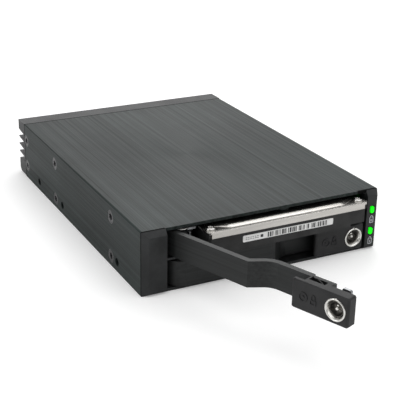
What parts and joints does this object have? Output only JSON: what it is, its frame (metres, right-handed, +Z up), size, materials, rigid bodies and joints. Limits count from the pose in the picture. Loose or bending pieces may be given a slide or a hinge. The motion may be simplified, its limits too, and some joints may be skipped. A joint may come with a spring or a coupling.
{
  "type": "hot swap drive cage",
  "caption": "Rack for two stacked 2.5 inch drives in one 3.5 inch bay, with keyed swing doors that push the drives out.",
  "frame": {"origin": "middle of the underside of the bottom tray, halfway along the cover", "axes": "+X to the right seen from the front, +Y from the doors to the rear louvres, +Z up"},
  "size_m": [0.1016, 0.2103, 0.0254],
  "materials": {
    "brushed_cover": "black anodised, brushed along its length",
    "tray": "plain sheet steel",
    "black_plastic": "fine moulded grain",
    "guide_plastic": "moulded",
    "door_metal": "black, brushed along the arm",
    "block_black": "black, fine grain",
    "bezel_black": "black, brushed",
    "pin_steel": "polished steel",
    "screw_black": "black oxide",
    "lock_chrome": "polished nickel",
    "lock_steel": "zinc plated",
    "light": "clear light guide",
    "circuit_board": "green solder mask",
    "connector_black": "moulded",
    "drive_metal": "dark casting",
    "drive_lid": "bright steel"
  },
  "bodies": {
    "chassis": {"top_cover": "brushed_cover", "bottom_tray": "tray", "left_guide": "guide_plastic", "right_guide": "guide_plastic", "mid_shelf": "tray", "hinge_pin": "pin_steel", "side_screws": "screw_black", "left_bezel": "bezel_black", "right_bezel": "bezel_black", "light_board": "circuit_board", "lower_status_light": "light", "upper_status_light": "light", "backplane_board": "circuit_board", "lower_data_port": "connector_black", "upper_data_port": "connector_black", "power_port": "connector_black", "rear_cap": "black_plastic", "lower_drive_socket": "connector_black", "upper_drive_socket": "connector_black"},
    "lower_door": {"lower_door_arm": "door_metal", "lower_latch_block": "block_black", "lower_block_screws": "screw_black", "lower_detent_leaf": "pin_steel", "lower_lock_sleeve": "lock_chrome"},
    "lower_lock": {"lower_lock_rotor": "lock_chrome", "lower_lock_cam": "lock_steel"},
    "lower_eject": {"lower_ejector": "lock_steel"},
    "upper_door": {"upper_door_arm": "door_metal", "upper_latch_block": "block_black", "upper_block_screws": "screw_black", "upper_detent_leaf": "pin_steel", "upper_lock_sleeve": "lock_chrome"},
    "upper_lock": {"upper_lock_rotor": "lock_chrome", "upper_lock_cam": "lock_steel"},
    "upper_eject": {"upper_ejector": "lock_steel"},
    "drive": {"drive_casting": "drive_metal", "drive_lid": "drive_lid", "drive_screws": "pin_steel", "drive_connector": "connector_black", "drive_board": "circuit_board"}
  },
  "joints": [
    {"name": "upper_door_hinge", "type": "hinge", "parent": "chassis", "child": "upper_door", "pos_m": [-0.0334, -0.0611, 0.01865], "axis": [0, 0, -1], "range_deg": [-68.8, 21.2]},
    {"name": "lower_door_hinge", "type": "hinge", "parent": "chassis", "child": "lower_door", "pos_m": [-0.0334, -0.0611, 0.00675], "axis": [0, 0, -1], "range_deg": [0, 90]},
    {"name": "upper_ejector_slide", "type": "slide", "parent": "chassis", "child": "upper_eject", "axis": [0, -1, 0], "range_m": [-0.00397, 0.00126]},
    {"name": "lower_ejector_slide", "type": "slide", "parent": "chassis", "child": "lower_eject", "axis": [0, -1, 0], "range_m": [0, 0.00517]},
    {"name": "upper_drive_slide", "type": "slide", "parent": "chassis", "child": "drive", "axis": [0, -1, 0], "range_m": [-0.01191, 0.00368]},
    {"name": "upper_lock_turn", "type": "hinge", "parent": "upper_door", "child": "upper_lock", "pos_m": [-0.01303, -0.1316, 0.01865], "axis": [-0.9323, -0.3616, 0], "range_deg": [-90, 0]},
    {"name": "lower_lock_turn", "type": "hinge", "parent": "lower_door", "child": "lower_lock", "pos_m": [0.0397, -0.0676, 0.00675], "axis": [0, -1, 0], "range_deg": [-90, 0]}
  ],
  "couplings": [
    {"joint": "upper_ejector_slide", "follows": "upper_door_hinge", "m_per_rad": 0.0032628},
    {"joint": "upper_drive_slide", "follows": "upper_door_hinge", "m_per_rad": 0.0099102},
    {"joint": "lower_ejector_slide", "follows": "lower_door_hinge", "m_per_rad": 0.0032628}
  ]
}
